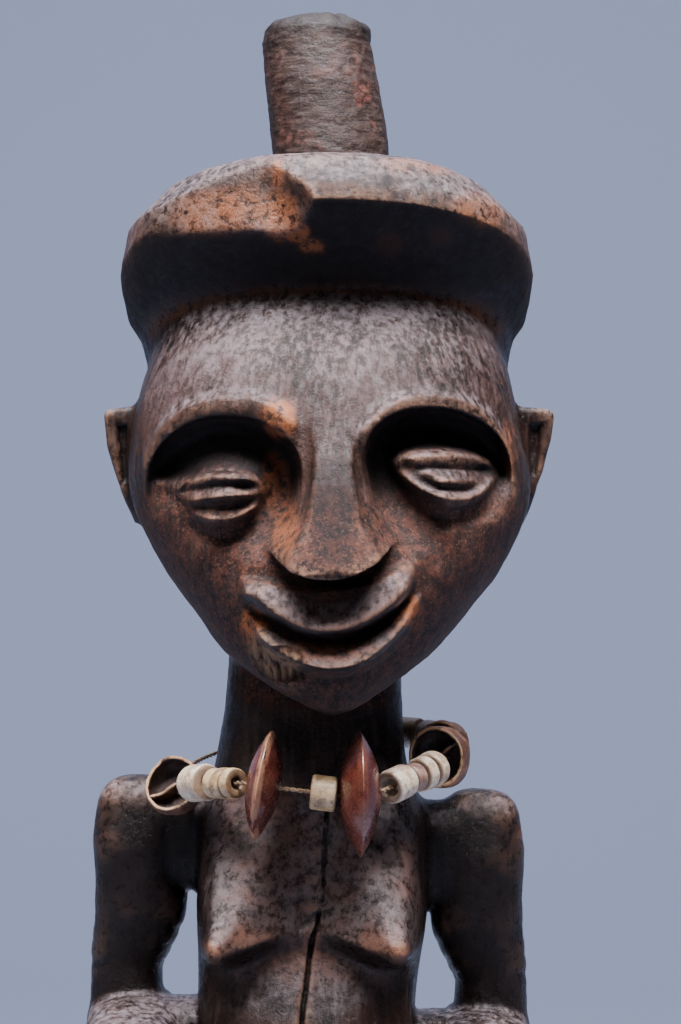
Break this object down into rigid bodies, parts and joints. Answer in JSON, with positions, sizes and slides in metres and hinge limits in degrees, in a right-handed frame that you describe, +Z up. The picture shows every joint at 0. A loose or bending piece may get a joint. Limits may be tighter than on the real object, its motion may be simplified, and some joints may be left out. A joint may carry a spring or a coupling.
{
  "type": "songye power figure",
  "caption": "Carved wooden standing figure on a low round base, with a flaring headdress, a horn stub in the crown, a heart-shaped face and a necklace of bone beads, large discs and nutshells.",
  "frame": {"origin": "centre of the base's flat underside", "axes": "+Z up the figure, -Y the way the face looks, +X towards the figure's own left, which is the viewer's right"},
  "size_m": [0.1174, 0.1167, 0.4301],
  "materials": {
    "carved_wood": "dark handled patina, satin, with reddish wear on the edges",
    "horn": "taupe horn with cross ridges, worn and dull",
    "fibre": "twisted tan plant fibre",
    "white_bone": "polished white bone with soiled cracks",
    "cream_bone": "polished cream bone with soiled cracks",
    "pinkish_bone": "polished pinkish-brown bone",
    "lens_bead": "glossy dark red-brown with a rough pale rim",
    "nutshell": "orange-brown shell with pale cut edges and a dark inside"
  },
  "bodies": {
    "root": {"figure": "carved_wood", "crown_horn": "horn", "necklace_string": "fibre", "lens_bead_left": "lens_bead", "lens_bead_right": "lens_bead", "bone_bead_centre": "cream_bone", "bone_bead_right_1": "white_bone", "bone_bead_right_2": "pinkish_bone", "bone_bead_right_3": "white_bone", "bone_bead_right_4": "white_bone", "bone_bead_left_1": "cream_bone", "bone_bead_left_2": "cream_bone", "bone_bead_left_3": "cream_bone", "bone_bead_left_4": "white_bone", "nutshell_left": "nutshell", "nutshell_right_1": "nutshell", "nutshell_right_2": "nutshell", "nutshell_right_3": "nutshell", "nape_bead_right_1": "cream_bone", "nape_bead_right_2": "cream_bone", "nape_bead_right_3": "cream_bone", "nape_bead_right_4": "cream_bone", "nape_bead_left_1": "cream_bone", "nape_bead_left_2": "cream_bone"}
  },
  "joints": []
}
